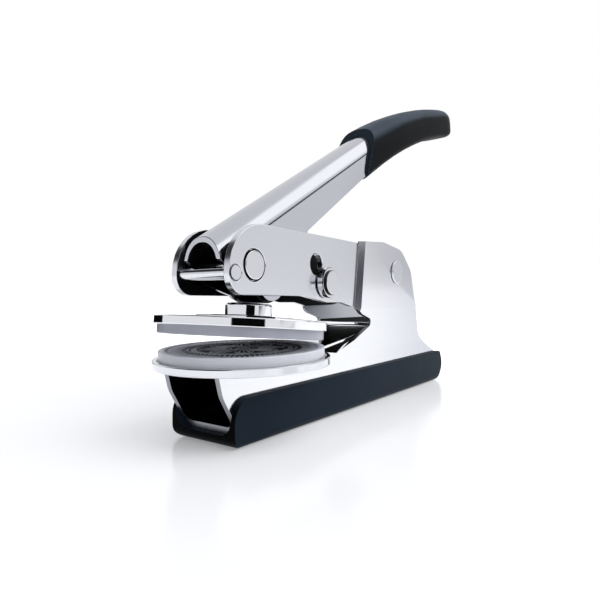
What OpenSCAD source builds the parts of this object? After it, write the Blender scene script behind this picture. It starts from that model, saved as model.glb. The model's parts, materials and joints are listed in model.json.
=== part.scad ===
// Hand-held seal embosser, shown with its lever open.
// X runs across the tool, -Y is the nose, +Z is up. The origin is on the desk, under the die centre.

/* [Shoe] */
// From the die centre forward to the nose of the shoe
shoe_front = 15; // [13:0.5:18]
// From the die centre back to the heel of the shoe
shoe_back = 125.7; // [123.5:0.1:140]
// Height of the shoe's side walls
shoe_h = 13; // [10:0.5:15]
// Thickness of the shoe under the channel
shoe_floor = 3.3; // [2:0.1:5]
// Thickness of the shoe's side walls
shoe_wall = 1.4; // [1:0.1:3]
// Corner radius of the shoe, seen from the side
shoe_round = 3.6; // [2:0.1:4.5]
// Radius of the shoe's upper front corners
shoe_brow = 6; // [3:0.1:7]

/* [Body sheet] */
// Half width outside of the channel
channel_half = 9.9; // [9.2:0.1:12]
// Gap between the two side plates
plate_gap = 16.8; // [16:0.1:20]
// Thickness of each side plate
plate_t = 2; // [1.2:0.1:2.5]
// How far the cheeks' front edges are drawn in towards the plates
cheek_ramp = 1.1; // [0.6:0.1:1.2]
// Thickness of the pressed body sheet
sheet_t = 1.5; // [1:0.1:2]
// Height of the body's top edge above the desk
body_top = 57.4; // [56.5:0.1:58]
// Height of the side plates' top edge
plate_top = 56; // [54:0.1:56]
// Height of the side plates' lower edge
plate_low = 37.6; // [36.5:0.1:39]
// From the die centre forward to the side plates' front edge
plate_front = 16; // [15.8:0.1:18]
// From the die centre back to the body's inner end in the shoe
body_back = 122; // [118:0.5:123]

/* [Dies] */
// Radius of the upper cup
cup_r = 23.5; // [20:0.1:24]
// Height of the cup's rim
cup_h = 2.3; // [1.8:0.1:3.4]
// Wall of the cup round its die
cup_wall = 0.9; // [0.5:0.1:1.4]
// Thickness of the cup's top
cup_top = 1; // [0.6:0.1:1.6]
// Height of die that stands out below the cup
die_show = 2.4; // [1:0.1:3]
// Radius of the lower die ring, as wide as the upper die
ring_r = cup_r - cup_wall;
// Height of the lower die ring
ring_h = 2.7; // [1.6:0.1:3]
// Border of the lower die ring round its engraved plate
seal_border = 2.4; // [2.2:0.1:8]
// Radius of the engraved plate in the lower die
seal_r = ring_r - seal_border;
// Depth of the engraved plate's pocket
seal_pocket = 1; // [0.6:0.1:1.4]
// Number of fine teeth round the engraved plate
tooth_count = 90; // [40:1:120]
// Height of the teeth, radially
tooth_h = 1; // [0.4:0.1:1.2]
// Rim of the die tray round the lower die ring
tray_rim = 1.6; // [1.3:0.1:2.9]
// Radius of the die tray
tray_r = ring_r + tray_rim;
// Height of the die tray's rim
tray_h = 2.1; // [1.4:0.1:2.8]
// Thickness of the die tray's floor
tray_floor = 0.9; // [0.6:0.1:1.2]
// Paper gap between the closed dies
paper_gap = 0.3; // [0.2:0.05:0.6]

/* [Die clip] */
// Distance of the clip's fold behind the die centre
fold_y = 57.5; // [54:0.5:58]
// Height of the clip's fold
fold_z = 27; // [26.6:0.1:27.4]
// Distance of the place where the upper arm bends, behind the die centre
flex_y = 25.8; // [25.4:0.1:26.6]
// Height of the closed die face, seen level
mate_z = 24.7; // [24.4:0.1:24.9]
// How far the upper arm opens from the lower one, degrees
clip_open = 6; // [4:0.1:6]
// How far the lower arm leans down at the front, degrees
lower_tilt = 1.5; // [1:0.1:2]
// Thickness of the clip's strip steel
strip_t = 0.9; // [0.6:0.1:1.1]
// Half width of the strip over the dies
strip_half = 10; // [8.5:0.1:14]
// Half width of the strip's neck in the throat
neck_half = 8; // [5:0.1:8.1]
// From the die centre forward to the strip's end
strip_front = 9; // [8:0.5:16]
// Outer radius of the clip's fold
fold_r = 1.3; // [1:0.1:1.6]

/* [Button] */
// Radius of the press button
button_r = 6.6; // [4:0.1:7]
// Distance of the press button behind the die centre
button_y = 2.4; // [0:0.1:4]
// Radius of the button's stud
stud_r = 1.5; // [1:0.1:2.5]

/* [Lever] */
// Distance of the lever's pivot ahead of the die centre
pivot_y = 6.8; // [6.4:0.1:7.2]
// Height of the lever's pivot
pivot_z = 45.2; // [45:0.1:46]
// Radius of the pivot's shaft
pivot_r = 2.4; // [1.8:0.1:2.5]
// Radius of the pivot's riveted heads
pivot_head_r = 3.9; // [3.4:0.1:4.8]
// Half width of the lever
lever_half = 6.55; // [6.3:0.05:7.4]
// Thickness of the lever's sheet
lever_t = 1.3; // [1:0.1:1.6]
// Radius of the lever's two shoulders
lever_round = 6.2; // [4:0.1:6.2]
// Slope of the open lever, degrees
lever_slope = 30.5; // [29:0.5:34]
// Depth of the lever's channel
lever_depth = 14.5; // [12:0.5:15]
// Depth of the channel at its far end
lever_end_depth = 10.5; // [9:0.5:12]
// How far the lever swings to close the dies, degrees
lever_swing = 12.5; // [11:0.1:12.6]
// Length of the lever's channel, from its nose
lever_len = 115; // [90:1:118]

/* [Roller] */
// Distance of the roller's axle behind the die centre
roller_y = 5; // [4.6:0.1:5.4]
// Height of the roller's axle
roller_z = 41.8; // [41:0.1:42.5]
// Radius of the roller
roller_r = 6.3; // [5.5:0.1:6.6]
// Radius of the roller's axle
roller_axle_r = 1.6; // [1:0.1:2]
// Gap from the roller down to the button, lever open
press_gap = 0.35; // [0.3:0.05:0.6]

/* [Grip] */
// Height of the grip's front end
grip_depth = 15.6; // [15.2:0.1:20]
// Height of the grip's far end
grip_end_depth = 14.2; // [10:0.1:16]
// Half width of the grip
grip_half = 8.1; // [7.8:0.1:11]
// Length of the grip along its back
grip_len = 104; // [95:1:130]
// Slope of the grip's far end, degrees
grip_end_slope = 13; // [4:0.5:22]

/* [Pins] */
// Radius of the lever's stop pin
stop_r = 1.7; // [1.2:0.1:1.8]
// Radius of the lock pin
lock_r = 1.7; // [1.3:0.1:1.8]
// Radius of the lock pin's heads
lock_head_r = 3.8; // [2.6:0.1:4.2]
// Radius of the plates' hole above the lock pin
keyhole_r = 3.3; // [3:0.1:3.8]
// Radius of the lock pin's collars
collar_r = 4.7; // [4.4:0.1:6]
// Thickness of the lock pin's collars
collar_t = 2.2; // [0.5:0.1:2.6]
// Radius of the rear rivet's shank
rivet_r = 2.6; // [2:0.1:3.4]
// Radius of the rear rivet's heads
rivet_head_r = 4.4; // [3.8:0.1:6]
// Radius of the spacer tube on the rear rivet
spacer_r = 4; // [3.6:0.1:5]

/* [Hidden] */
$fn = 64;
seat = 0.02;            // gap at a seated or riveted face
run = 0.05;             // radial clearance of a running pin
plate_in = plate_gap / 2;
plate_out = plate_in + plate_t;
cheek_half = plate_out + seat + sheet_t;
throat_z = 34;          // where the body's sides reach their full width
channel_top = 17.6;     // where the channel's sides start to flare
channel_round = 4;      // outer corner radius of the channel
fold = [fold_y, fold_z];
lean_at = [50, 27];     // the lower arm's lean is about this cross axis
pivot = [-pivot_y, pivot_z];
roller = [roller_y, roller_z];
stop_at = [-13.7, 43];
lock_open = [25.7, 41.7];
lock_shut = [21.2, 47.1];
rivet_at = [73.6, 47.2];
steel = "#C9CCD2";
bright = "#E3E5E8";
black = "#20262D";

// ---- Outlines ----

function unit(v) = v / norm(v);
// The points that round the corner q between p and s to the radius r
function corner(p, q, s, r, n = 8) =
    r <= 0 ? [q] :
    let (u = unit(p - q), v = unit(s - q), half = acos(u * v) / 2)
    let (c = q + unit(u + v) * r / sin(half))
    let (a = q + u * r / tan(half) - c, b = q + v * r / tan(half) - c)
    let (from = atan2(a[1], a[0]), turn = atan2(b[1], b[0]) - from)
    let (sweep = turn > 180 ? turn - 360 : turn < -180 ? turn + 360 : turn)
    [for (i = [0:n]) c + r * [cos(from + sweep * i / n), sin(from + sweep * i / n)]];
// An outline from [y, z, radius] corners
function rounded(pts) =
    let (n = len(pts), at = [for (p = pts) [p[0], p[1]]])
    [for (i = [0:n - 1]) each corner(at[(i + n - 1) % n], at[i], at[(i + 1) % n], pts[i][2])];

// Stands a side outline (y, z) up and gives it the width from x0 to x1
module side(x0, x1) translate([x0, 0, 0]) rotate([90, 0, 90]) linear_extrude(x1 - x0) children();
// A pin or hole along X
module cross_pin(at, r, x0, x1) translate([x0, at[0], at[1]]) rotate([0, 90, 0]) cylinder(r = r, h = x1 - x0);
// A round-ended slot in a side outline
module slot_outline(a, b, r) {
    translate(a) circle(r);
    translate(b) circle(r);
    translate(a) rotate(atan2(b[1] - a[1], b[0] - a[0])) translate([0, -r]) square([norm(b - a), 2 * r]);
}
// Turns its children about a cross axis
module turned(at, angle) translate([0, at[0], at[1]]) rotate([angle, 0, 0]) translate([0, -at[0], -at[1]]) children();
module on_both_sides() {
    children();
    mirror([1, 0, 0]) children();
}

// ---- Shoe and body ----

// The channel's outer section, or its inner one when it is inset by the sheet
module channel_section(inset) {
    low = shoe_floor + inset;
    half = channel_half - inset;
    wide = cheek_half - inset;
    top = body_top + 5;
    polygon(rounded([[-half, low, channel_round - inset], [half, low, channel_round - inset],
                     [half, channel_top, 0], [wide, throat_z, 0], [wide, top, 0],
                     [-wide, top, 0], [-wide, throat_z, 0], [-half, channel_top, 0]]));
}
module along_y(y0, y1) translate([0, y1, 0]) rotate([90, 0, 0]) linear_extrude(y1 - y0) children();

module base_shoe() color(black) {
    half = channel_half + shoe_wall;
    difference() {
        intersection() {
            side(-half, half) polygon(rounded([
                [-shoe_front, 0, shoe_round], [shoe_back - 6, 0, shoe_round],
                [shoe_back, 6.6, 5], [shoe_back - 3, shoe_h + 0.3, 2.5],
                [-shoe_front, shoe_h - 0.6, shoe_brow]]));
            along_y(-shoe_front - 1, shoe_back + 1) polygon(rounded([
                [-half, 0, 2.4], [half, 0, 2.4], [half, shoe_h + 2, 0], [-half, shoe_h + 2, 0]]));
        }
        along_y(-shoe_front - 1, body_back + seat) channel_section(-seat);
    }
}

// Height of the tray's underside, where the channel's sides end
tray_z = mate_z - ring_h - strip_t - tray_floor;
function tray_under(y) =
    lean_at[1] - (lean_at[0] - y) * sin(lower_tilt) - (lean_at[1] - tray_z) * cos(lower_tilt) - seat;

// The channel and the cheeks behind the throat, seen from the side
module body_outline() {
    nose = -19;
    lip = sqrt(tray_r * tray_r - pow(channel_half - sheet_t, 2)) + 0.4;
    polygon(concat(
        rounded([[-12.6, shoe_floor, 0], [-12.6, shoe_floor + sheet_t + 0.2, 1], [-17.6, shoe_h + 0.2, 9],
                 [nose, tray_under(nose), 0],
                 [lip, tray_under(lip), 0], [lip + 0.8, tray_under(lip) + 1.2, 0.6],
                 [fold_y - 24.5, fold_z - 7.4, 4], [fold_y - 13.5, fold_z - 3.9, 8],
                 [fold_y - 0.4, fold_z + 2, 1.6], [fold_y - 10.5, throat_z - 2.2, 4],
                 [fold_y - 14, throat_z, 0], [fold_y - 11, body_top - 0.9, 0],
                 [fold_y + 5.5, body_top + 0.3, 10], [fold_y + 21, body_top - 1.4, 10],
                 [fold_y + 30, body_top - 8.9, 6], [fold_y + 33.5, throat_z + 3.5, 8],
                 [fold_y + 41.5, throat_z - 12.5, 10], [body_back - 5, shoe_h + 1, 4],
                 [body_back, shoe_h - 4, 3], [body_back, shoe_floor, 0]])));
}

// The wedge that is pressed flat from the outside of a cheek's leaning front edge
module front_ramp() {
    lean = atan(3 / (body_top - 0.9 - throat_z));
    length = 2.6;
    translate([0, fold_y - 14, throat_z]) rotate([-lean, 0, 0]) linear_extrude(60, center = true) polygon([
        [cheek_half - cheek_ramp, 0], [cheek_half, length], [cheek_half + 1, length],
        [cheek_half + 1, -3], [cheek_half - cheek_ramp, -3]]);
}
module body_frame() color(bright) difference() {
    intersection() {
        side(-cheek_half - 1, cheek_half + 1) body_outline();
        along_y(-40, body_back + 1) difference() {
            channel_section(0);
            channel_section(sheet_t);
        }
    }
    on_both_sides() front_ramp();
    cross_pin(rivet_at, rivet_r + seat, -cheek_half - 1, cheek_half + 1);
}

// ---- Side plates and their pins ----

// The plates' counterbores hold the riveted heads, with a dark ring left round each
head_ring = 0.3;
head_sink = 1;
stop_head_r = stop_r + 0.1;

module plate_outline() {
    polygon(rounded([
        [-plate_front, plate_low, 5], [-plate_front, plate_top, 12.5], [fold_y + 12.5, plate_top, 9],
        [fold_y + 25.5, plate_top - 6, 4], [fold_y + 26, plate_low + 0.4, 4], [fold_y + 2.5, throat_z + 0.8, 6],
        [fold_y - 15.1, throat_z + 0.4, 3], [fold_y - 21.8, plate_low - 1.9, 5],
        [fold_y - 30.3, plate_low - 1.9, 8], [fold_y - 42.3, plate_low, 14]]));
}
module side_plate() color(steel) difference() {
    side(plate_in, plate_out) difference() {
        plate_outline();
        slot_outline(lock_open, lock_shut, lock_r + 0.2);
        translate(lock_shut) circle(keyhole_r);
    }
    cross_pin(pivot, pivot_r + seat, 0, plate_out + 1);
    cross_pin(pivot, pivot_head_r + head_ring, plate_out - head_sink, plate_out + 1);
    cross_pin(stop_at, stop_r + seat, 0, plate_out + 1);
    cross_pin(stop_at, stop_head_r + head_ring, plate_out - head_sink, plate_out + 1);
    cross_pin(rivet_at, rivet_r + seat, 0, plate_out + 1);
}
module right_plate() side_plate();
module left_plate() mirror([1, 0, 0]) side_plate();

// A headed pin through both plates
module headed_pin(at, r, head_r, head_in, head_out) {
    cross_pin(at, r, -head_in - 0.1, head_in + 0.1);
    on_both_sides() cross_pin(at, head_r, head_in, head_out);
}
module main_axle() color(bright)
    headed_pin(pivot, pivot_r, pivot_head_r, plate_out - head_sink + seat, plate_out + 0.2);
module pivot_spacers() color(steel) difference() {
    on_both_sides() cross_pin(pivot, spacer_r - 0.4, lever_half + 0.15, plate_in - seat);
    cross_pin(pivot, pivot_r + seat, -plate_in, plate_in);
}
module stop_pin() color(bright)
    headed_pin(stop_at, stop_r, stop_head_r, plate_out - head_sink + seat, plate_out + 0.1);
module rear_rivet() color(steel)
    headed_pin(rivet_at, rivet_r, rivet_head_r, cheek_half + seat, cheek_half + 0.8);
module rear_spacer() color(steel) difference() {
    cross_pin(rivet_at, spacer_r, -plate_in + seat, plate_in - seat);
    cross_pin(rivet_at, rivet_r + seat, -plate_in - 1, plate_in + 1);
}

// ---- Lock pin ----

collar_in = plate_out + 0.2;
module lock_pin() color(bright)
    headed_pin(lock_open, lock_r, lock_head_r, collar_in + collar_t + seat, collar_in + collar_t + 0.7);
module lock_collars() color(steel) difference() {
    on_both_sides() cross_pin(lock_open, collar_r, collar_in, collar_in + collar_t);
    cross_pin(lock_open, lock_r + seat, -plate_out - 3, plate_out + 3);
}

// ---- Lever, roller and grip ----

crown = [-15.2, 52.3];    // the lever's top at its nose
lever_dir = [cos(lever_slope), sin(lever_slope)];
lever_up = [-sin(lever_slope), cos(lever_slope)];
lobe_r = 5.7;           // the lever's ears round the roller's axle
ear_r = 5.1;            // and round its own pivot
// A point of the closed lever, carried back to the open one
function opened(p) =
    let (d = p - pivot)
    pivot + [d[0] * cos(lever_swing) - d[1] * sin(lever_swing), d[0] * sin(lever_swing) + d[1] * cos(lever_swing)];
hook = opened(lock_shut);
hook_mouth = opened(lock_open);
hook_gap = lock_r + 0.3;
hook_dir = unit(hook_mouth - hook);
hook_low = [hook_dir[1], -hook_dir[0]];
hook_lip = 2;           // thickness of the hook's finger

lever_under = crown - lever_depth * lever_up;
lever_far = crown + (lever_len + 6) * lever_dir;
lever_far_low = crown + lever_len * lever_dir - lever_end_depth * lever_up;
lever_knee = lever_under + 34.5 * lever_dir;
// The side of the lever above its flanges' lower edge, moved up by the given distance
module flange_side(up) polygon([lever_knee + up * lever_up, lever_far_low + up * lever_up,
                                lever_far_low + 6 * lever_dir + up * lever_up, lever_far + 9 * lever_up,
                                crown + 9 * lever_up]);

// The ears, the hook for the lock pin and the channel's flanges, seen from the side
module lever_outline() {
    far = crown + lever_len * lever_dir;
    difference() {
        polygon(rounded([
            [crown[0], crown[1] + 6, 0], concat(far + 6 * lever_up, 0), concat(lever_far_low, 0),
            concat(lever_knee, 1), concat(hook + 2 * hook_dir - hook_gap * hook_low, 0),
            concat(hook + 2.4 * hook_dir + hook_gap * hook_low, 0),
            concat(hook + 1.4 * hook_dir + (hook_gap + hook_lip) * hook_low, 0.6),
            [roller[0] + 8.5, roller[1] + 8.1, 4],
            [roller[0] + 4.7, roller[1] + 0.6, 0], [pivot[0], pivot[1] - 3, 0],
            [pivot[0] - 3.6, stop_at[1] + stop_r + 0.2, 0], [stop_at[0] + 0.8, stop_at[1] + stop_r + 0.2, 0],
            [crown[0], crown[1] - 5.8, 0]]));
        slot_outline(hook, hook_mouth, hook_gap);
    }
}
// The bent sheet's section: a nearly flat back, two round shoulders and two hanging flanges
module lever_section(inset, reach) {
    half = lever_half - inset;
    flat = lever_half - lever_round;
    for (x = [-flat, flat]) translate([x, lever_round]) circle(lever_round - inset);
    translate([-flat, inset]) square([2 * flat, lever_round]);
    translate([-half, lever_round]) square([2 * half, reach]);
}
module lever_sweep(inset, reach, from, to)
    translate([0, crown[0], crown[1]]) rotate([lever_slope - 90, 0, 0])
    translate([0, 0, from]) linear_extrude(to - from) lever_section(inset, reach);

module lever() color(steel) difference() {
    intersection() {
        union() {
            side(-lever_half - 1, lever_half + 1) lever_outline();
            side(-lever_half - 1, lever_half + 1) slot_outline(pivot, roller, ear_r);
            cross_pin(roller, lobe_r, -lever_half - 1, lever_half + 1);
        }
        difference() {
            lever_sweep(0, 40, -30, lever_len + 1);
            lever_sweep(lever_t, 41, -31, lever_len + 2);
        }
    }
    cross_pin(pivot, pivot_r + run, -lever_half - 1, lever_half + 1);
    cross_pin(roller, roller_axle_r + seat, -lever_half - 1, lever_half + 1);
}
module roller_axle() color(bright) cross_pin(roller, roller_axle_r, -lever_half, lever_half);
module press_roller() color("#5B5F66") {
    half = lever_half - lever_t - 0.3;
    difference() {
        cross_pin(roller, roller_r, -half, half);
        cross_pin(roller, roller_axle_r + run, -half - 1, half + 1);
    }
}

// The grip's back is an arc that starts in line with the lever and ends nearly level
grip_rings = 24;
grip_sides = 28;
grip_cap = 15;          // length of the rounded far end
grip_skip = 12;         // the sweep starts this far ahead of the cut front face
grip_front = 59.3;      // the lower tip of the grip's front face
grip_front_z = 79.5;
grip_lean = 15;         // the front face leans back at the top, degrees
grip_bend = (lever_slope - grip_end_slope) / grip_len;
grip_start = crown + (grip_front - crown[0]) / lever_dir[0] * lever_dir + 2.2 * lever_up;
// The back's slope and place, a length s along it
function grip_slope(s) = s < 0 ? lever_slope : lever_slope - grip_bend * s;
function grip_back(s) =
    s < 0 ? grip_start + s * lever_dir :
    let (r = 180 / PI / grip_bend, a = grip_slope(s))
    grip_start + r * [sin(lever_slope) - sin(a), cos(a) - cos(lever_slope)];
function grip_shrink(s) =
    let (t = max(0, s - (grip_len - grip_cap)) / grip_cap)
    pow(max(0.02, 1 - pow(t, 2.4)), 0.5);
function grip_ring(s) =
    let (a = grip_slope(s), back = grip_back(s), k = grip_shrink(s))
    let (d = grip_depth + (grip_end_depth - grip_depth) * min(1, max(0, s / (grip_len * 0.75))))
    let (up = [-sin(a), cos(a)], mid = back - up * d / 2)
    [for (i = [0:grip_sides - 1])
        let (w = 360 * i / grip_sides, c = cos(w), v = sin(w))
        let (full = v > 0 ? 0.76 : 0.36)
        let (x = grip_half * sign(c) * pow(abs(c), full) * k)
        let (h = d / 2 * sign(v) * pow(abs(v), full) * k)
        [x, mid[0] + up[0] * h, mid[1] + up[1] * h]];
function grip_step(i) = let (t = i / grip_rings) -grip_skip + (grip_len + grip_skip) * (1 - pow(1 - t, 1.5));
module grip_form() {
    points = [for (i = [0:grip_rings]) each grip_ring(grip_step(i))];
    last = grip_rings * grip_sides;
    faces = concat(
        [[for (i = [grip_sides - 1:-1:0]) i]],
        [for (j = [0:grip_rings - 1]) for (i = [0:grip_sides - 1])
            let (a = j * grip_sides + i, b = j * grip_sides + (i + 1) % grip_sides)
            each [[a, b, a + grip_sides], [b, b + grip_sides, a + grip_sides]]],
        [[for (i = [0:grip_sides - 1]) last + i]]);
    polyhedron(points, faces, convexity = 6);
}
module grip() color(black) difference() {
    grip_form();
    side(-20, 20) polygon([[-60, 40], [grip_front - (grip_front_z - 40) * tan(grip_lean), 40],
                           [grip_front + (140 - grip_front_z) * tan(grip_lean), 140], [-60, 140]]);
    // the moulding fills the lever's channel as well as wrapping it
    difference() {
        intersection() {
            lever_sweep(-seat, lever_depth, 0, lever_len + 0.1);
            side(-20, 20) flange_side(-0.1);
        }
        lever_sweep(lever_t + seat, lever_depth + 5, -1, lever_len + 1);
    }
}

// ---- Die clip ----

neck_start = tray_r + 0.6;
under_z = mate_z - ring_h - strip_t;                  // underside of the lower strip, level
cup_low = mate_z + paper_gap + die_show;              // the cup's lower edge, level
over_z = cup_low + cup_h + seat;                      // underside of the upper strip, level
// A point of the level clip, carried to the leaning one
function leaned(p) =
    let (d = p - lean_at)
    lean_at + [d[0] * cos(lower_tilt) - d[1] * sin(lower_tilt), d[0] * sin(lower_tilt) + d[1] * cos(lower_tilt)];
flex_level = [flex_y, over_z + strip_t / 2];
flex = leaned(flex_level);
module lower_lean() turned(lean_at, lower_tilt) children();
module upper_lean() turned(flex, -clip_open) lower_lean() children();

// The strip seen from above: a wide plate over the dies and a narrower neck behind
module strip_plan(front) {
    polygon(rounded([[-strip_half, -front, 1.5], [strip_half, -front, 1.5], [strip_half, 19, 1.5],
                     [neck_half, 21.5, 0], [neck_half, fold_y + 5, 0], [-neck_half, fold_y + 5, 0],
                     [-neck_half, 21.5, 0], [-strip_half, 19, 1.5]]));
}
// The lower arm, the fold and the back of the upper arm are one strip
module clip_lower_arm() color(bright) lower_lean() intersection() {
    linear_extrude(fold_z + 8) strip_plan(strip_front);
    union() {
        side(-20, 20) polygon([
            [-40, under_z], [neck_start, under_z], [fold_y - 11.5, under_z + 2.3], [fold_y, fold_z - fold_r],
            [fold_y, fold_z - fold_r + strip_t], [fold_y - 11.5, under_z + 2.3 + strip_t],
            [neck_start, under_z + strip_t], [-40, under_z + strip_t]]);
        cross_pin(fold, fold_r, -20, 20);
        side(-20, 20) polygon([
            [flex_y, flex_level[1] - strip_t / 2], [fold_y, fold_z + fold_r - strip_t],
            [fold_y, fold_z + fold_r], [flex_y, flex_level[1] + strip_t / 2]]);
        cross_pin(flex_level, strip_t / 2, -20, 20);
    }
}
module clip_upper_arm() color(bright) upper_lean() difference() {
    intersection() {
        linear_extrude(over_z + 5) strip_plan(strip_front);
        side(-20, 20) translate([-40, over_z]) square([40 + flex_y - strip_t / 2 - 0.25, strip_t]);
    }
    cut_disc(stud_r + seat, over_z - 1, over_z + strip_t + 1);
}
module cut_disc(r, z0, z1) translate([0, button_y, z0]) cylinder(r = r, h = z1 - z0);
module disc(r, z0, z1) translate([0, 0, z0]) cylinder(r = r, h = z1 - z0, $fn = 120);

module upper_cup() color(bright) upper_lean() difference() {
    disc(cup_r, cup_low, cup_low + cup_h);
    disc(cup_r - cup_wall, cup_low - 1, cup_low + cup_h - cup_top);
    cut_disc(stud_r + seat, cup_low, cup_low + cup_h + 1);
}
module upper_die() color("#C8CAD4") upper_lean()
    disc(cup_r - cup_wall - seat, mate_z + paper_gap, cup_low + cup_h - cup_top - seat);

// The open button's top lies just under the open roller
rise = clip_open - lower_tilt;
button_top = flex_level[1] + (roller - flex) * [sin(rise), cos(rise)] - roller_r - press_gap;
button_low = over_z + strip_t + seat;
module press_button() color(bright) upper_lean() difference() {
    translate([0, button_y, button_low]) rotate_extrude()
        polygon([[0, 0], [button_r, 0], [button_r, button_top - button_low - 0.5],
                 [button_r - 0.5, button_top - button_low], [0, button_top - button_low]]);
    cut_disc(stud_r + seat, button_low - 1, button_low + 1);
}
module button_stud() color(steel) upper_lean()
    cut_disc(stud_r, cup_low + cup_h - cup_top, button_low + 1 - seat);

// ---- Lower die and tray ----

module tooth_outline(r, h, n) {
    polygon([for (i = [0:2 * n - 1]) (i % 2 == 0 ? r + h : r) * [cos(180 * i / n), sin(180 * i / n)]]);
}
module die_tray() color(bright) lower_lean() difference() {
    disc(tray_r, tray_z, tray_z + tray_h);
    disc(ring_r + 0.3, tray_z + tray_floor, tray_z + tray_h + 1);
    translate([-neck_half - 0.4, 10, tray_z + tray_floor]) cube([2 * neck_half + 0.8, 30, tray_h]);
}
module lower_die_ring() color("#D2D4DC") lower_lean() difference() {
    disc(ring_r, under_z + strip_t + seat, mate_z);
    translate([0, 0, mate_z - seal_pocket]) linear_extrude(2) tooth_outline(seal_r + 0.1, tooth_h, tooth_count);
}
module seal_plate() color("#5A5E66") lower_lean() difference() {
    disc(seal_r, mate_z - seal_pocket + seat, mate_z - 0.15);
    for (r = [0.9, 0.62, 0.3]) difference() {
        disc(seal_r * r, mate_z - 0.4, mate_z);
        disc(seal_r * r - 0.5, mate_z - 1, mate_z + 1);
    }
}

base_shoe();
body_frame();
die_tray();
left_plate();
right_plate();
main_axle();
pivot_spacers();
stop_pin();
rear_rivet();
rear_spacer();
lock_pin();
lock_collars();
lever();
grip();
press_roller();
roller_axle();
clip_lower_arm();
clip_upper_arm();
upper_cup();
upper_die();
press_button();
button_stud();
lower_die_ring();
seal_plate();
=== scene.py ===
import json
import math

import bmesh
import bpy
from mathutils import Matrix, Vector

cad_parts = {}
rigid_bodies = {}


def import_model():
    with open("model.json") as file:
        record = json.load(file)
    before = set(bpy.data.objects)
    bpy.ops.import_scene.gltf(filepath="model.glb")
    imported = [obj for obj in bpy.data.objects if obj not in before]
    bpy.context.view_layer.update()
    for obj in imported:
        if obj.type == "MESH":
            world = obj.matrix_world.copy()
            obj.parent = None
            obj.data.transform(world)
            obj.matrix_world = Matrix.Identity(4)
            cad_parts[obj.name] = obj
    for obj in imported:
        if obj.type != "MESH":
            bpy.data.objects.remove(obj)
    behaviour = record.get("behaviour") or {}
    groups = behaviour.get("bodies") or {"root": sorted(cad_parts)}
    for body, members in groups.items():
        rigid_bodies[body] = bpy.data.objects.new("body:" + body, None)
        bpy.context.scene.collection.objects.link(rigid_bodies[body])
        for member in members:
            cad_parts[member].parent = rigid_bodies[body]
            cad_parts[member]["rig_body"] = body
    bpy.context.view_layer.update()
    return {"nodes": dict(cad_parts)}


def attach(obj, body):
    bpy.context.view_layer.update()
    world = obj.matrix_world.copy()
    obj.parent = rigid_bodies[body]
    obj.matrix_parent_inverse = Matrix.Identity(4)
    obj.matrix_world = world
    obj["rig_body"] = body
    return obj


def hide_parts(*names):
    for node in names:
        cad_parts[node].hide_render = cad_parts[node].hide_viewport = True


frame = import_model()
scene = bpy.context.scene
mm = 0.001
print("frame loaded, nodes:", len(frame["nodes"]))


photoCamera = {
    "place": (92.41 * mm, -100.99 * mm, 35.98 * mm),
    "turn": 35.8,      # degrees left of +Y
    "tip": 0.18,       # degrees above level
    "lens": 29.52,
    "sensor": 36.0,
}
studio = {
    "floorColour": "#F1F2F4",
    "floorSize": 6.0,
    "floorLift": 0.23,      # light added to the floor where the camera sees it
    "farLift": 0.85,        # and further out, where the sheet runs into the backdrop
    "floorMirrored": 0.36,  # and where polished metal mirrors it
    "floorGloss": 0.3,
    "floorRough": 0.16,
    "sweepFrom": 0.1,       # metres from the middle, where the floor starts to run into the backdrop
    "sweepTo": 0.24,
    "cardsFrom": 0.32,      # the black cards' feet stand this far out on the floor
    "cardsTo": 9.0,
    "cardFootEdge": 0.03,
    "cardBlack": 0.01,
    "tent": "#F6F7FA",
    "tentLight": 0.9,
    "keyPlace": (0.36, 0.12, 0.56),
    "keyTarget": (0, 0.06, 0.05),
    "keyPower": 1.6,
    "keySize": 0.5,
}
# Cards round the tent: the middle in degrees from +X towards +Y, half width, lower and upper edge in degrees
# above level, how soft the edge is, how far it rises per degree to its left, and its light beside the tent's
studioCards = [
    # a near white one for the cheeks, and one for the lever's top
    {"toward": 70, "half": 9, "low": 2, "high": 15, "edge": 2.5, "colour": "#DDDEE2"},
    {"toward": 150, "half": 72, "low": 22, "high": 80, "edge": 4, "colour": "#F3F4F6"},
    # the dark room behind the camera
    {"toward": -118, "half": 52, "low": 20, "high": 72, "edge": 5, "colour": "#33353A"},
    # the lever's bright band, and the dark crease under it
    {"toward": 44, "half": 34, "low": 30, "high": 62, "edge": 5, "colour": "#FFFFFF", "light": 1.6},
    {"toward": 52, "half": 16, "low": 17, "high": 23, "edge": 1.2, "slope": 0.5, "colour": "#101114"},
    # the cheeks' leaning front edges
    {"toward": 12, "half": 11, "low": 1.6, "high": 12, "edge": 1.5, "colour": "#3E4046"},
    # the black blocks on the cup's rim
    {"toward": -40, "half": 21, "low": -8, "high": 8, "edge": 1, "colour": "#08090A", "onFloor": True},
    {"toward": 152, "half": 40, "low": -8, "high": 3, "edge": 1, "colour": "#08090A", "onFloor": True},
]


def toLinear(hexColour, alpha=1.0):
    parts = [int(hexColour[i:i + 2], 16) / 255 for i in (1, 3, 5)]
    line = [p / 12.92 if p <= 0.04045 else ((p + 0.055) / 1.055) ** 2.4 for p in parts]
    return (*line, alpha)


def addNode(tree, kind, values=None, links=None, **settings):
    node = tree.nodes.new(kind)
    for name, value in settings.items():
        setattr(node, name, value)
    for key, value in (values or {}).items():
        node.inputs[key].default_value = value
    for key, source in (links or {}).items():
        tree.links.new(source, node.inputs[key])
    return node


def newMaterial(name):
    material = bpy.data.materials.new(name)
    material.use_nodes = True
    tree = material.node_tree
    tree.nodes.clear()
    return material, tree


def finishMaterial(tree, shader):
    addNode(tree, "ShaderNodeOutputMaterial", links={"Surface": shader})


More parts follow.
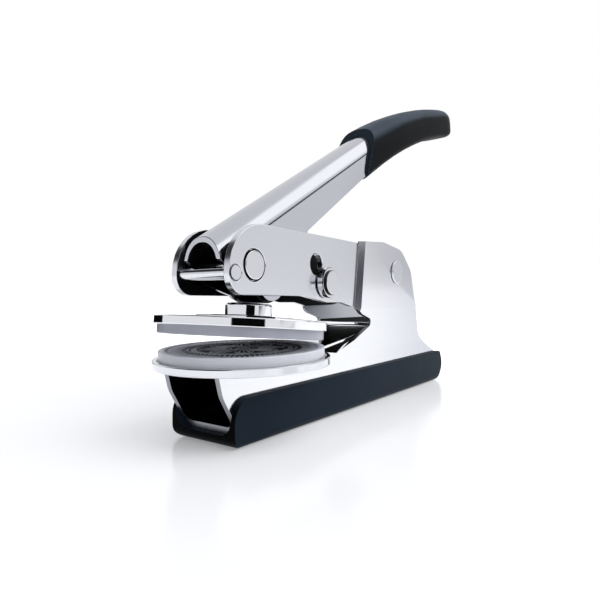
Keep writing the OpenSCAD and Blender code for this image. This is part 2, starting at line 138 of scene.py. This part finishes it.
def makeCamera(spec):
    turn, tip = math.radians(spec["turn"]), math.radians(spec["tip"])
    look = Vector((-math.sin(turn) * math.cos(tip), math.cos(turn) * math.cos(tip), math.sin(tip)))
    data = bpy.data.cameras.new("photoCamera")
    data.lens, data.sensor_width = spec["lens"], spec["sensor"]
    data.clip_start, data.clip_end = 0.005, 50
    camera = bpy.data.objects.new("photoCamera", data)
    camera.location = spec["place"]
    camera.rotation_mode = "QUATERNION"
    camera.rotation_quaternion = look.to_track_quat("-Z", "Y")
    scene.collection.objects.link(camera)
    scene.camera = camera


def inBox(tree, pairs):
    # One where every value lies between its low and high end, with a soft edge
    total = None
    for value, low, high, edge in pairs:
        rise = addNode(tree, "ShaderNodeMapRange", {"From Min": low - edge, "From Max": low + edge},
                       {"Value": value}, interpolation_type="SMOOTHSTEP")
        fall = addNode(tree, "ShaderNodeMapRange",
                       {"From Min": high - edge, "From Max": high + edge, "To Min": 1.0, "To Max": 0.0},
                       {"Value": value}, interpolation_type="SMOOTHSTEP")
        both = addNode(tree, "ShaderNodeMath", links={0: rise.outputs[0], 1: fall.outputs[0]},
                       operation="MULTIPLY")
        if total:
            both = addNode(tree, "ShaderNodeMath", links={0: both.outputs[0], 1: total}, operation="MULTIPLY")
        total = both.outputs[0]
    return total


def compassOf(tree, split, toward):
    # Degrees round the object, counted from the given direction
    angle = addNode(tree, "ShaderNodeMath", links={0: split.outputs["Y"], 1: split.outputs["X"]},
                    operation="ARCTAN2")
    away = addNode(tree, "ShaderNodeMath", {1: math.radians(toward)}, {0: angle.outputs[0]},
                   operation="SUBTRACT")
    wrapped = addNode(tree, "ShaderNodeMath", {1: math.pi, 2: -math.pi}, {0: away.outputs[0]},
                      operation="WRAP")
    turned = addNode(tree, "ShaderNodeMath", {1: math.degrees(1)}, {0: wrapped.outputs[0]},
                     operation="MULTIPLY")
    return turned.outputs[0]


def makeFloor(spec):
    half = spec["floorSize"] / 2
    mesh = bpy.data.meshes.new("studioFloor")
    corners = [(-half, -half, 0), (half, -half, 0), (half, half, 0), (-half, half, 0)]
    mesh.from_pydata(corners, [], [(0, 1, 2, 3)])
    floor = bpy.data.objects.new("studioFloor", mesh)
    scene.collection.objects.link(floor)
    material, tree = newMaterial("whiteAcrylicSheet")   # a polished white sheet, faint reflection
    surface = addNode(tree, "ShaderNodeBsdfPrincipled", {
        "Base Color": toLinear(spec["floorColour"]), "Roughness": spec["floorRough"],
        "Specular IOR Level": spec["floorGloss"]})
    where = addNode(tree, "ShaderNodeTexCoord")
    split = addNode(tree, "ShaderNodeSeparateXYZ", links={0: where.outputs["Object"]})
    away = addNode(tree, "ShaderNodeVectorMath", links={0: where.outputs["Object"]}, operation="LENGTH")
    keep = None
    for card in studioCards:
        if not card.get("onFloor"):
            continue
        side = compassOf(tree, split, card["toward"])
        shaded = inBox(tree, [(side, -card["half"], card["half"], card["edge"]),
                              (away.outputs["Value"], spec["cardsFrom"], spec["cardsTo"],
                               spec["cardFootEdge"])])
        left = addNode(tree, "ShaderNodeMath", {0: 1.0}, {1: shaded}, operation="SUBTRACT")
        if keep:
            left = addNode(tree, "ShaderNodeMath", links={0: left.outputs[0], 1: keep}, operation="MULTIPLY")
        keep = left.outputs[0]
    path = addNode(tree, "ShaderNodeLightPath")
    mirrored = addNode(tree, "ShaderNodeMath", {1: spec["floorMirrored"]}, {0: path.outputs["Is Glossy Ray"]},
                       operation="MULTIPLY")
    sweep = addNode(tree, "ShaderNodeMapRange", {
        "From Min": spec["sweepFrom"], "From Max": spec["sweepTo"],
        "To Min": spec["floorLift"], "To Max": spec["farLift"]}, {"Value": away.outputs["Value"]})
    lift = addNode(tree, "ShaderNodeMath", links={
        0: path.outputs["Is Camera Ray"], 1: sweep.outputs[0], 2: mirrored.outputs[0]},
        operation="MULTIPLY_ADD")
    glow = addNode(tree, "ShaderNodeEmission", {"Color": (1, 1, 1, 1)}, {"Strength": lift.outputs[0]})
    both = addNode(tree, "ShaderNodeAddShader", links={0: surface.outputs[0], 1: glow.outputs[0]})
    card = spec["cardBlack"]
    black = addNode(tree, "ShaderNodeBsdfDiffuse", {"Color": (card, card, card, 1)})
    dark = addNode(tree, "ShaderNodeMath", {0: 1.0}, {1: keep}, operation="SUBTRACT")
    onlyMirrored = addNode(tree, "ShaderNodeMath", links={
        0: dark.outputs[0], 1: path.outputs["Is Glossy Ray"]}, operation="MULTIPLY")
    shown = addNode(tree, "ShaderNodeMixShader", links={
        0: onlyMirrored.outputs[0], 1: both.outputs[0], 2: black.outputs[0]})
    finishMaterial(tree, shown.outputs[0])
    mesh.materials.append(material)


def makeWorld(spec):
    # A white tent hung with grey and black cards, which polished metal shows as bands
    world = bpy.data.worlds.new("studioTent")
    scene.world = world
    world.use_nodes = True
    tree = world.node_tree
    tree.nodes.clear()
    direction = addNode(tree, "ShaderNodeTexCoord")
    split = addNode(tree, "ShaderNodeSeparateXYZ", links={0: direction.outputs["Generated"]})
    rise = addNode(tree, "ShaderNodeMath", links={0: split.outputs["Z"]}, operation="ARCSINE")
    height = addNode(tree, "ShaderNodeMath", {1: math.degrees(1)}, {0: rise.outputs[0]}, operation="MULTIPLY")
    base = addNode(tree, "ShaderNodeMix", {"Factor": 0.0, "A": toLinear(spec["tent"])}, data_type="RGBA")
    shade = base.outputs["Result"]
    for card in studioCards:
        side = compassOf(tree, split, card["toward"])
        tilted = addNode(tree, "ShaderNodeMath", {1: -card.get("slope", 0.0)},
                         {0: side, 2: height.outputs[0]}, operation="MULTIPLY_ADD")
        inside = inBox(tree, [(side, -card["half"], card["half"], card["edge"]),
                              (tilted.outputs[0], card["low"], card["high"], card["edge"])])
        colour = [part * card.get("light", 1.0) for part in toLinear(card["colour"])]
        mixed = addNode(tree, "ShaderNodeMix", {"B": colour}, {"Factor": inside, "A": shade},
                        data_type="RGBA")
        shade = mixed.outputs["Result"]
    tentLight = addNode(tree, "ShaderNodeBackground", {"Strength": spec["tentLight"]}, {"Color": shade})
    seen = addNode(tree, "ShaderNodeBackground", {"Color": (1, 1, 1, 1), "Strength": 1.0})
    path = addNode(tree, "ShaderNodeLightPath")
    pick = addNode(tree, "ShaderNodeMixShader", links={
        0: path.outputs["Is Camera Ray"], 1: tentLight.outputs[0], 2: seen.outputs[0]})
    addNode(tree, "ShaderNodeOutputWorld", links={"Surface": pick.outputs[0]})


def makeLamp(name, place, target, size, power):
    data = bpy.data.lights.new(name, "AREA")
    data.shape, data.size, data.energy = "SQUARE", size, power
    lamp = bpy.data.objects.new(name, data)
    lamp.location = place
    lamp.rotation_mode = "QUATERNION"
    lamp.rotation_quaternion = (Vector(target) - Vector(place)).to_track_quat("-Z", "Y")
    lamp.visible_glossy = False      # polished metal shows the cards, not the lamp
    scene.collection.objects.link(lamp)


scene.view_settings.view_transform = "Standard"
makeCamera(photoCamera)
makeFloor(studio)
makeWorld(studio)
makeLamp("softKey", studio["keyPlace"], studio["keyTarget"], studio["keySize"], studio["keyPower"])
print("studio ready")


def between(tree, value, low, high):
    above = addNode(tree, "ShaderNodeMath", {1: low}, {0: value}, operation="GREATER_THAN")
    below = addNode(tree, "ShaderNodeMath", {1: high}, {0: value}, operation="LESS_THAN")
    both = addNode(tree, "ShaderNodeMath", links={0: above.outputs[0], 1: below.outputs[0]},
                   operation="MULTIPLY")
    return both.outputs[0]


def zoneMask(tree, where, zone):
    # One on the faces of a zone: a box in millimetres, and how the faces in it look.
    # "inward" is how far a face looks towards the tool's own middle, x, y and z are its normal
    place = addNode(tree, "ShaderNodeSeparateXYZ", links={0: where.outputs["Object"]})
    facing = addNode(tree, "ShaderNodeSeparateXYZ", links={0: where.outputs["Normal"]})
    total = None
    for key, (low, high) in zone.items():
        if key in ("across", "along", "up"):
            axis = {"across": "X", "along": "Y", "up": "Z"}[key]
            value, low, high = place.outputs[axis], low * mm, high * mm
            if key == "across":
                value = addNode(tree, "ShaderNodeMath", links={0: value}, operation="ABSOLUTE").outputs[0]
        elif key == "inward":
            side = addNode(tree, "ShaderNodeMath", links={0: place.outputs["X"]}, operation="SIGN")
            value = addNode(tree, "ShaderNodeMath", links={0: side.outputs[0], 1: facing.outputs["X"]},
                            operation="MULTIPLY").outputs[0]
            low, high = -high, -low
        elif key == "sideways":
            value = addNode(tree, "ShaderNodeMath", links={0: facing.outputs["X"]},
                            operation="ABSOLUTE").outputs[0]
        else:
            value = facing.outputs[key.upper()]
        part = between(tree, value, low, high)
        if total:
            part = addNode(tree, "ShaderNodeMath", links={0: part, 1: total}, operation="MULTIPLY").outputs[0]
        total = part
    return total


# How far handling sways the roughness: shares of it on metal, added to it on mouldings
roughSway = {"metal": (0.7, 1.35), "moulding": (-0.06, 0.08)}


def fadedColour(tree, colour, where, spec):
    # The colour goes over into another one, a painted shade: along an axis in millimetres, or with the way a
    # face looks
    for output, axis, start, end, other in spec.get("paintedShadeFades", []):
        place = addNode(tree, "ShaderNodeSeparateXYZ", links={0: where.outputs[output]})
        unit = mm if output == "Object" else 1.0
        amount = addNode(tree, "ShaderNodeMapRange", {"From Min": start * unit, "From Max": end * unit},
                         {"Value": place.outputs[axis]}, interpolation_type="SMOOTHSTEP")
        faded = addNode(tree, "ShaderNodeMix", {"B": toLinear(other)},
                        {"Factor": amount.outputs[0], "A": colour}, data_type="RGBA")
        colour = faded.outputs["Result"]
    return colour


def makeMetal(name, spec):
    material, tree = newMaterial(name)
    where = addNode(tree, "ShaderNodeTexCoord")
    lines = tuple(1 / (size * mm) for size in spec["grain"])
    stretch = addNode(tree, "ShaderNodeMapping", {"Scale": lines}, {0: where.outputs["Object"]})
    grain = addNode(tree, "ShaderNodeTexNoise", {"Scale": 1.0, "Detail": 3.0},
                    {"Vector": stretch.outputs[0]})
    cloud = addNode(tree, "ShaderNodeTexNoise", {"Scale": 1 / (spec["cloud"] * mm), "Detail": 4.0},
                    {"Vector": where.outputs["Object"]})
    least, most = [spec["rough"] * share for share in roughSway["metal"]]
    rough = addNode(tree, "ShaderNodeMapRange", {"To Min": least, "To Max": most},
                    {"Value": cloud.outputs["Fac"]})
    tone = addNode(tree, "ShaderNodeMix", {"A": toLinear(spec["colour"]), "B": toLinear(spec["shade"])},
                   {"Factor": grain.outputs["Fac"]}, data_type="RGBA")
    colour, roughness = fadedColour(tree, tone.outputs["Result"], where, spec), rough.outputs[0]
    for zoneColour, zoneRough, zones in spec.get("zones", []):
        for zone in zones:
            mask = zoneMask(tree, where, zone)
            tint = addNode(tree, "ShaderNodeMix", {"B": toLinear(zoneColour)}, {"Factor": mask, "A": colour},
                           data_type="RGBA")
            dull = addNode(tree, "ShaderNodeMix", {"B": zoneRough}, {"Factor": mask, "A": roughness})
            colour, roughness = tint.outputs["Result"], dull.outputs[0]
    bump = addNode(tree, "ShaderNodeBump", {"Strength": 1.0, "Distance": spec["depth"] * mm},
                   {"Height": grain.outputs["Fac"]})
    shader = addNode(tree, "ShaderNodeBsdfPrincipled", {"Metallic": 1.0}, {
        "Base Color": colour, "Roughness": roughness, "Normal": bump.outputs[0]})
    finishMaterial(tree, shader.outputs[0])
    return material


def makeMoulding(name, spec):
    material, tree = newMaterial(name)
    where = addNode(tree, "ShaderNodeTexCoord")
    pebble = addNode(tree, "ShaderNodeTexNoise", {"Scale": 1 / (spec["grain"] * mm), "Detail": 2.0},
                     {"Vector": where.outputs["Object"]})
    cloud = addNode(tree, "ShaderNodeTexNoise", {"Scale": 1 / (spec["cloud"] * mm), "Detail": 3.0},
                    {"Vector": where.outputs["Object"]})
    tone = addNode(tree, "ShaderNodeMix", {"A": toLinear(spec["colour"]), "B": toLinear(spec["shade"])},
                   {"Factor": cloud.outputs["Fac"]}, data_type="RGBA")
    least, most = [spec["rough"] + step for step in roughSway["moulding"]]
    rough = addNode(tree, "ShaderNodeMapRange", {"To Min": least, "To Max": most},
                    {"Value": cloud.outputs["Fac"]})
    bump = addNode(tree, "ShaderNodeBump", {"Strength": 1.0, "Distance": spec["depth"] * mm},
                   {"Height": pebble.outputs["Fac"]})
    colour = fadedColour(tree, tone.outputs["Result"], where, spec)
    shader = addNode(tree, "ShaderNodeBsdfPrincipled", spec["socket"], {
        "Base Color": colour, "Roughness": rough.outputs[0], "Normal": bump.outputs[0]})
    finishMaterial(tree, shader.outputs[0])
    return material


# Grain is the size of the surface's own lines across, along and up, in millimetres. A zone has its colour,
# its roughness and its places, and a fade the other colour that it goes over into. The fades are painted
# shade, and so are most zones; a few are painted reflections, and the sheared edges' zone is their own satin
# grey
metals = {
    # nickel-plated pressed steel, buffed: near white with long soft reflections, painted greyer towards the
    # heel as a painted shade.
    # Inside, the cheeks are brushed and rougher with their grey a painted shade, and the channel is painted
    # black, a painted shade. Sheared edges are satin grey
    "buffedNickelSheet": {
        "colour": "#EDEEF0", "shade": "#E4E5E8", "rough": 0.13, "cloud": 22,
        "grain": (0.5, 14, 0.3), "depth": 0.0002,
        "paintedShadeFades": [("Object", "Y", 40, 115, "#CDCED5")],
        "zones": [("#C9CAD0", 0.3, [{"inward": (0.25, 2), "up": (29.5, 90)}]),
                  ("#9A9CA2", 0.34, [{"sideways": (-1, 0.35), "up": (3, 60), "along": (-30, -10)},
                                     {"sideways": (-1, 0.35), "up": (23, 60), "along": (30, 130)}]),
                  ("#08090A", 0.5, [{"inward": (0.25, 2), "up": (0, 29.5)},
                                    {"z": (0.5, 2), "across": (-1, 8.8), "up": (0, 12)}])]},
    # the die tray: the same plating, turned rim
    "buffedNickelTray": {
        "colour": "#E0E1E5", "shade": "#D6D7DC", "rough": 0.12, "cloud": 12,
        "grain": (0.6, 0.6, 0.3), "depth": 0.0002},
    # nickel-plated plate, vibration polished: pale grey with a silky face, painted dark where the plates face
    # each other, a painted shade between them, and painted mid-grey on the arc at the nose, a lighter painted
    # shade
    "silkyNickelPlate": {
        "colour": "#E1E2E6", "shade": "#DBDCE1", "rough": 0.2, "cloud": 30,
        "grain": (0.5, 12, 0.4), "depth": 0.0002,
        "zones": [("#17181B", 0.35, [{"inward": (0.5, 2)}]),
                  ("#84868C", 0.3, [{"inward": (0.5, 2), "along": (-30, -13.2), "up": (44, 60)}])]},
    # the lever's bent nickel-plated sheet: smooth and bright outside, painted dark inside its arch, a painted
    # shade
    "bentNickelSheet": {
        "colour": "#D0D1D7", "shade": "#C9CAD1", "rough": 0.11, "cloud": 16,
        "grain": (0.4, 12, 0.4), "depth": 0.0002,
        "zones": [("#101113", 0.45, [{"inward": (0.3, 2)}, {"z": (-2, -0.2), "across": (-1, 5.4)}])]},
    # bright chrome plate on turned steel: a clean mirror
    "mirrorChrome": {
        "colour": "#F1F2F4", "shade": "#ECEDF0", "rough": 0.04, "cloud": 9,
        "grain": (0.8, 0.8, 0.8), "depth": 0.0001},
    # the clip's front strip: the crevice under its sheared edge is painted black, a painted shade, and its
    # ends are painted black, a painted reflection
    "chromedStripEnd": {
        "colour": "#F1F2F4", "shade": "#ECEDF0", "rough": 0.05, "cloud": 9,
        "grain": (0.8, 4, 0.8), "depth": 0.0001,
        "zones": [("#060607", 0.5, [{"z": (-2, -0.25)}, {"sideways": (0.5, 2), "along": (-30, 2)}])]},
    # chromed spring strip: a mirror outside, painted dark inside its fold, a painted shade
    "chromedSpringStrip": {
        "colour": "#F1F2F4", "shade": "#ECEDF0", "rough": 0.05, "cloud": 9,
        "grain": (0.8, 4, 0.8), "depth": 0.0001,
        "zones": [("#101113", 0.4, [{"z": (-2, -0.6), "along": (24.6, 70)},
                                    {"z": (0.6, 2), "along": (38, 70), "up": (0, 26.6)}])]},
    # plain turned steel pins: bright with faint tool marks, the rounded edges of their heads painted dark, a
    # painted reflection
    "turnedSteel": {
        "colour": "#E6E7EA", "shade": "#D9DADE", "rough": 0.13, "cloud": 4,
        "grain": (3, 0.25, 0.25), "depth": 0.0004,
        "zones": [("#1B1C1F", 0.35, [{"sideways": (0.12, 0.86)}])]},
    # ground steel roller, blackened in oil: dark with a soft sheen
    "blackenedSteel": {
        "colour": "#2A2C30", "shade": "#1C1D20", "rough": 0.2, "cloud": 5,
        "grain": (4, 0.3, 0.3), "depth": 0.0004},
}
castResin = {"IOR": 1.49, "Subsurface Weight": 0.35, "Subsurface Radius": (0.003, 0.003, 0.0036),
             "Subsurface Scale": 0.6}
mouldings = {
    # injection moulded ABS with a fine spark texture: satin blue-black, painted black where it faces
    # forwards, a painted shade
    "satinBlackABS": {
        "colour": "#252F3A", "shade": "#1E2731", "rough": 0.4, "cloud": 30,
        "grain": 0.35, "depth": 0.012, "paintedShadeFades": [("Normal", "Y", -0.35, -0.95, "#010203")],
        "socket": {"IOR": 1.5, "Specular IOR Level": 0.02}},
    # the grip's slightly softer moulded PVC: its back keeps the lighter colour as a painted sheen, and it is
    # painted black underneath, a painted shade
    "softBlackPVC": {
        "colour": "#434E5A", "shade": "#38424D", "rough": 0.4, "cloud": 26,
        "grain": 0.4, "depth": 0.014, "paintedShadeFades": [("Normal", "Z", 0.5, 0.0, "#020406")],
        "socket": {"IOR": 1.5, "Specular IOR Level": 0.03}},
    # cast acrylic resin dies: cloudy lilac-grey, light goes a little way in
    "cloudyAcrylic": {
        "colour": "#E6E8F0", "shade": "#DADCE6", "rough": 0.3, "cloud": 7,
        "grain": 0.3, "depth": 0.004, "socket": castResin},
    # the upper die's resin: the same cast, painted darker as a painted shade
    "paintedShadeAcrylic": {
        "colour": "#B9BBC6", "shade": "#A9ABB7", "rough": 0.3, "cloud": 7,
        "grain": 0.3, "depth": 0.004, "socket": castResin},
}
# cut steel plate: the raised lines are rubbed pale and dull, the ground between them stays dark
engraving = {
    "ground": "#50525A", "line": "#F0F1F5", "rough": 0.42, "cloud": 6,
    "wornAt": 0.32,         # how much of the relief shows as a full line
    "groundMetal": 0.8, "lineMetal": 0.15,
}


def makeEngraved(name, spec):
    material, tree = newMaterial(name)
    where = addNode(tree, "ShaderNodeTexCoord")
    raised = addNode(tree, "ShaderNodeAttribute", attribute_name="relief")
    cloud = addNode(tree, "ShaderNodeTexNoise", {"Scale": 1 / (spec["cloud"] * mm), "Detail": 4.0},
                    {"Vector": where.outputs["Object"]})
    worn = addNode(tree, "ShaderNodeMath", links={0: raised.outputs["Fac"], 1: cloud.outputs["Fac"]},
                   operation="MULTIPLY")
    amount = addNode(tree, "ShaderNodeMapRange", {"From Max": spec["wornAt"]}, {"Value": worn.outputs[0]})
    tone = addNode(tree, "ShaderNodeMix", {"A": toLinear(spec["ground"]), "B": toLinear(spec["line"])},
                   {"Factor": amount.outputs[0]}, data_type="RGBA")
    metal = addNode(tree, "ShaderNodeMapRange", {"To Min": spec["groundMetal"], "To Max": spec["lineMetal"]},
                    {"Value": amount.outputs[0]})
    shader = addNode(tree, "ShaderNodeBsdfPrincipled", {"Roughness": spec["rough"]},
                     {"Base Color": tone.outputs["Result"], "Metallic": metal.outputs[0]})
    finishMaterial(tree, shader.outputs[0])
    return material


finish = {name: makeMetal(name, spec) for name, spec in metals.items()}
finish.update({name: makeMoulding(name, spec) for name, spec in mouldings.items()})
finish["cutSteelPlate"] = makeEngraved("cutSteelPlate", engraving)
print("materials ready:", len(finish))


def place(piece, node, slotName, material):
    mesh = piece.data
    mesh.materials.clear()
    mesh.materials.append(finish[material])
    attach(piece, frame["nodes"][node]["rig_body"])
    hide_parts(node)


# Angles are in degrees: flatter than "flat" is one face, and steeper than "bevelFrom" gets a round edge
softening = {"weld": 0.002, "flat": 1.2, "sharpFrom": 16, "bevelFrom": 38}


def softenedCopy(name, node, edge, segments):
    mesh = frame["nodes"][node].data.copy()
    mesh.name = name
    work = bmesh.new()
    work.from_mesh(mesh)
    bmesh.ops.remove_doubles(work, verts=work.verts, dist=softening["weld"] * mm)
    bmesh.ops.dissolve_limit(work, angle_limit=math.radians(softening["flat"]), verts=work.verts,
                             edges=work.edges)
    work.to_mesh(mesh)
    work.free()
    for spare in [layer for layer in mesh.attributes if layer.name == "custom_normal"]:
        mesh.attributes.remove(spare)
    mesh.shade_smooth()
    mesh.set_sharp_from_angle(angle=math.radians(softening["sharpFrom"]))
    raw = bpy.data.objects.new(name + "Raw", mesh)
    scene.collection.objects.link(raw)
    bevel = raw.modifiers.new("edge", "BEVEL")
    bevel.width, bevel.segments, bevel.limit_method = edge * mm, segments, "ANGLE"
    bevel.angle_limit = math.radians(softening["bevelFrom"])
    bevel.use_clamp_overlap = True
    bevel.miter_outer = "MITER_ARC"
    flat = raw.modifiers.new("flat", "WEIGHTED_NORMAL")
    flat.keep_sharp = True
    view = bpy.context.evaluated_depsgraph_get()
    done = bpy.data.meshes.new_from_object(raw.evaluated_get(view))
    bpy.data.objects.remove(raw)
    piece = bpy.data.objects.new(name, done)
    scene.collection.objects.link(piece)
    return piece


# Pieces that keep the frame's shape, with real softened edges.
# Piece name: node, material slot, finish, width of its edges in millimetres, steps round each edge
keptShapes = {
    "shoe": ("base_shoe", "shoe_plastic", "satinBlackABS", 0.35, 3),
    "bodySheet": ("body_frame", "body_steel", "buffedNickelSheet", 0.18, 2),
    "dieTray": ("die_tray", "body_steel", "buffedNickelTray", 0.3, 3),
    "leftPlate": ("left_plate", "plate_steel", "silkyNickelPlate", 0.2, 2),
    "rightPlate": ("right_plate", "plate_steel", "silkyNickelPlate", 0.2, 2),
    "leverPivot": ("main_axle", "pin_steel", "turnedSteel", 0.5, 4),
    "pivotSpacers": ("pivot_spacers", "pin_steel", "turnedSteel", 0.1, 2),
    "stopPin": ("stop_pin", "pin_steel", "turnedSteel", 0.2, 3),
    "rearRivet": ("rear_rivet", "pin_steel", "silkyNickelPlate", 0.3, 3),
    "rearSpacer": ("rear_spacer", "pin_steel", "turnedSteel", 0.1, 2),
    "lockPin": ("lock_pin", "pin_steel", "turnedSteel", 0.35, 4),
    "lockCollars": ("lock_collars", "plate_steel", "turnedSteel", 0.25, 3),
    "leverSheet": ("lever", "lever_steel", "bentNickelSheet", 0.2, 2),
    "roller": ("press_roller", "roller_steel", "blackenedSteel", 0.3, 3),
    "rollerAxle": ("roller_axle", "pin_steel", "turnedSteel", 0.15, 2),
    "lowerClipArm": ("clip_lower_arm", "clip_chrome", "chromedSpringStrip", 0.15, 2),
    "upperClipArm": ("clip_upper_arm", "clip_chrome", "chromedStripEnd", 0.3, 2),
    "upperCup": ("upper_cup", "clip_chrome", "mirrorChrome", 0.25, 3),
    "upperDie": ("upper_die", "die_resin", "paintedShadeAcrylic", 0.3, 3),
    "pressButton": ("press_button", "clip_chrome", "mirrorChrome", 0.2, 3),
    "buttonStud": ("button_stud", "pin_steel", "turnedSteel", 0.1, 2),
    "lowerDieRing": ("lower_die_ring", "die_resin", "cloudyAcrylic", 0.2, 2),
    "grip": ("grip", "grip_plastic", "softBlackPVC", 0.3, 2),
}
for name, (node, slotName, material, edge, segments) in keptShapes.items():
    place(softenedCopy(name, node, edge, segments), node, slotName, material)
print("kept shapes:", len(keptShapes))


# The engraved seal is a generic pattern cut into steel
sealCut = {
    "radius": 20.15,                        # millimetres, as are the rest
    "top": 24.53, "depth": 0.3, "underside": 23.75,
    "tilt": 1.5, "about": (50, 27),         # it leans with the die clip's lower arm
    "rays": 90, "rayTip": 16.3, "rayFoot": 19.9, "rayPast": 0.3, "raySoft": 0.12,
    "beads": 64, "beadRing": 14.8, "beadSize": 0.42, "beadTop": 0.6,
    "hoops": ((13.5, 0.22), (12.9, 0.12), (3.4, 0.18)), "hoopSoft": 0.15,
    "petals": 8, "petalIn": 4.6, "petalOut": 11.6, "petalRound": 0.7, "petalLine": (0.28, 0.5),
    "veins": 2.5, "veinFrom": 4.4, "veinMargin": 1.3, "veinHeight": 0.85, "veinLine": (0.3, 0.55),
    "boss": (1.9, 2.3),                     # its flat top and its foot
    "stepsOut": 60, "stepsRound": 720, "sharpFrom": 50,
}


def ramp(value, low, high):
    t = min(1.0, max(0.0, (value - low) / (high - low)))
    return t * t * (3 - 2 * t)


def sealHeight(out, turn, spec):
    # How far the metal stands at a point of the seal: 1 on a line, 0 on the ground
    high = 0.0
    if spec["rayTip"] < out < spec["rayFoot"] + spec["rayPast"]:
        wave = abs((turn * spec["rays"] / math.tau) % 1 - 0.5) * 2
        wide = (out - spec["rayTip"]) / (spec["rayFoot"] - spec["rayTip"])
        high = max(high, ramp(wide - wave, -spec["raySoft"], spec["raySoft"]))
    step = math.tau / spec["beads"]
    off = (turn % step - step / 2) * out
    fromBead = math.hypot(off, out - spec["beadRing"])
    high = max(high, 1 - ramp(fromBead, spec["beadSize"] * spec["beadTop"], spec["beadSize"]))
    for hoop, half in spec["hoops"]:
        high = max(high, 1 - ramp(abs(out - hoop), half, half + spec["hoopSoft"]))
    petal = abs(math.cos(turn * spec["petals"] / 2))
    edge = spec["petalIn"] + (spec["petalOut"] - spec["petalIn"]) * petal ** spec["petalRound"]
    high = max(high, 1 - ramp(abs(out - edge), *spec["petalLine"]))
    if spec["veinFrom"] < out < edge - spec["veinMargin"]:
        vein = abs(math.sin(turn * spec["petals"] * spec["veins"]))
        high = max(high, spec["veinHeight"] * (1 - ramp(vein, *spec["veinLine"])))
    return max(high, 1 - ramp(out, *spec["boss"]))


def makeSeal(name, spec):
    mesh = bpy.data.meshes.new(name)
    tilt = math.radians(spec["tilt"])
    aboutY, aboutZ = spec["about"]
    points, raised, faces = [], [], []

    def add(out, turn, z, high):
        x, y = out * math.cos(turn), out * math.sin(turn)
        dy, dz = y - aboutY, z - aboutZ
        points.append((x * mm, (aboutY + dy * math.cos(tilt) - dz * math.sin(tilt)) * mm,
                       (aboutZ + dy * math.sin(tilt) + dz * math.cos(tilt)) * mm))
        raised.append(high)
        return len(points) - 1

    count = spec["stepsRound"]
    middle = add(0, 0, spec["top"], 1.0)
    rings = []
    for i in range(1, spec["stepsOut"] + 1):
        out = spec["radius"] * i / spec["stepsOut"]
        ring = []
        for j in range(count):
            turn = math.tau * j / count
            high = sealHeight(out, turn, spec)
            ring.append(add(out, turn, spec["top"] - spec["depth"] * (1 - high), high))
        rings.append(ring)
    rings.append([add(spec["radius"], math.tau * j / count, spec["underside"], 0.0)
                  for j in range(count)])
    base = add(0, 0, spec["underside"], 0.0)
    for j in range(count):
        k = (j + 1) % count
        faces.append((middle, rings[0][j], rings[0][k]))
        faces.append((base, rings[-1][k], rings[-1][j]))
        faces.extend((inner[j], outer[j], outer[k], inner[k]) for inner, outer in zip(rings, rings[1:]))
    mesh.from_pydata(points, [], faces)
    relief = mesh.attributes.new("relief", "FLOAT", "POINT")
    relief.data.foreach_set("value", raised)
    mesh.shade_smooth()
    mesh.set_sharp_from_angle(angle=math.radians(spec["sharpFrom"]))
    piece = bpy.data.objects.new(name, mesh)
    scene.collection.objects.link(piece)
    return piece


place(makeSeal("sealPlate", sealCut), "seal_plate", "seal_metal", "cutSteelPlate")
print("seal cut")
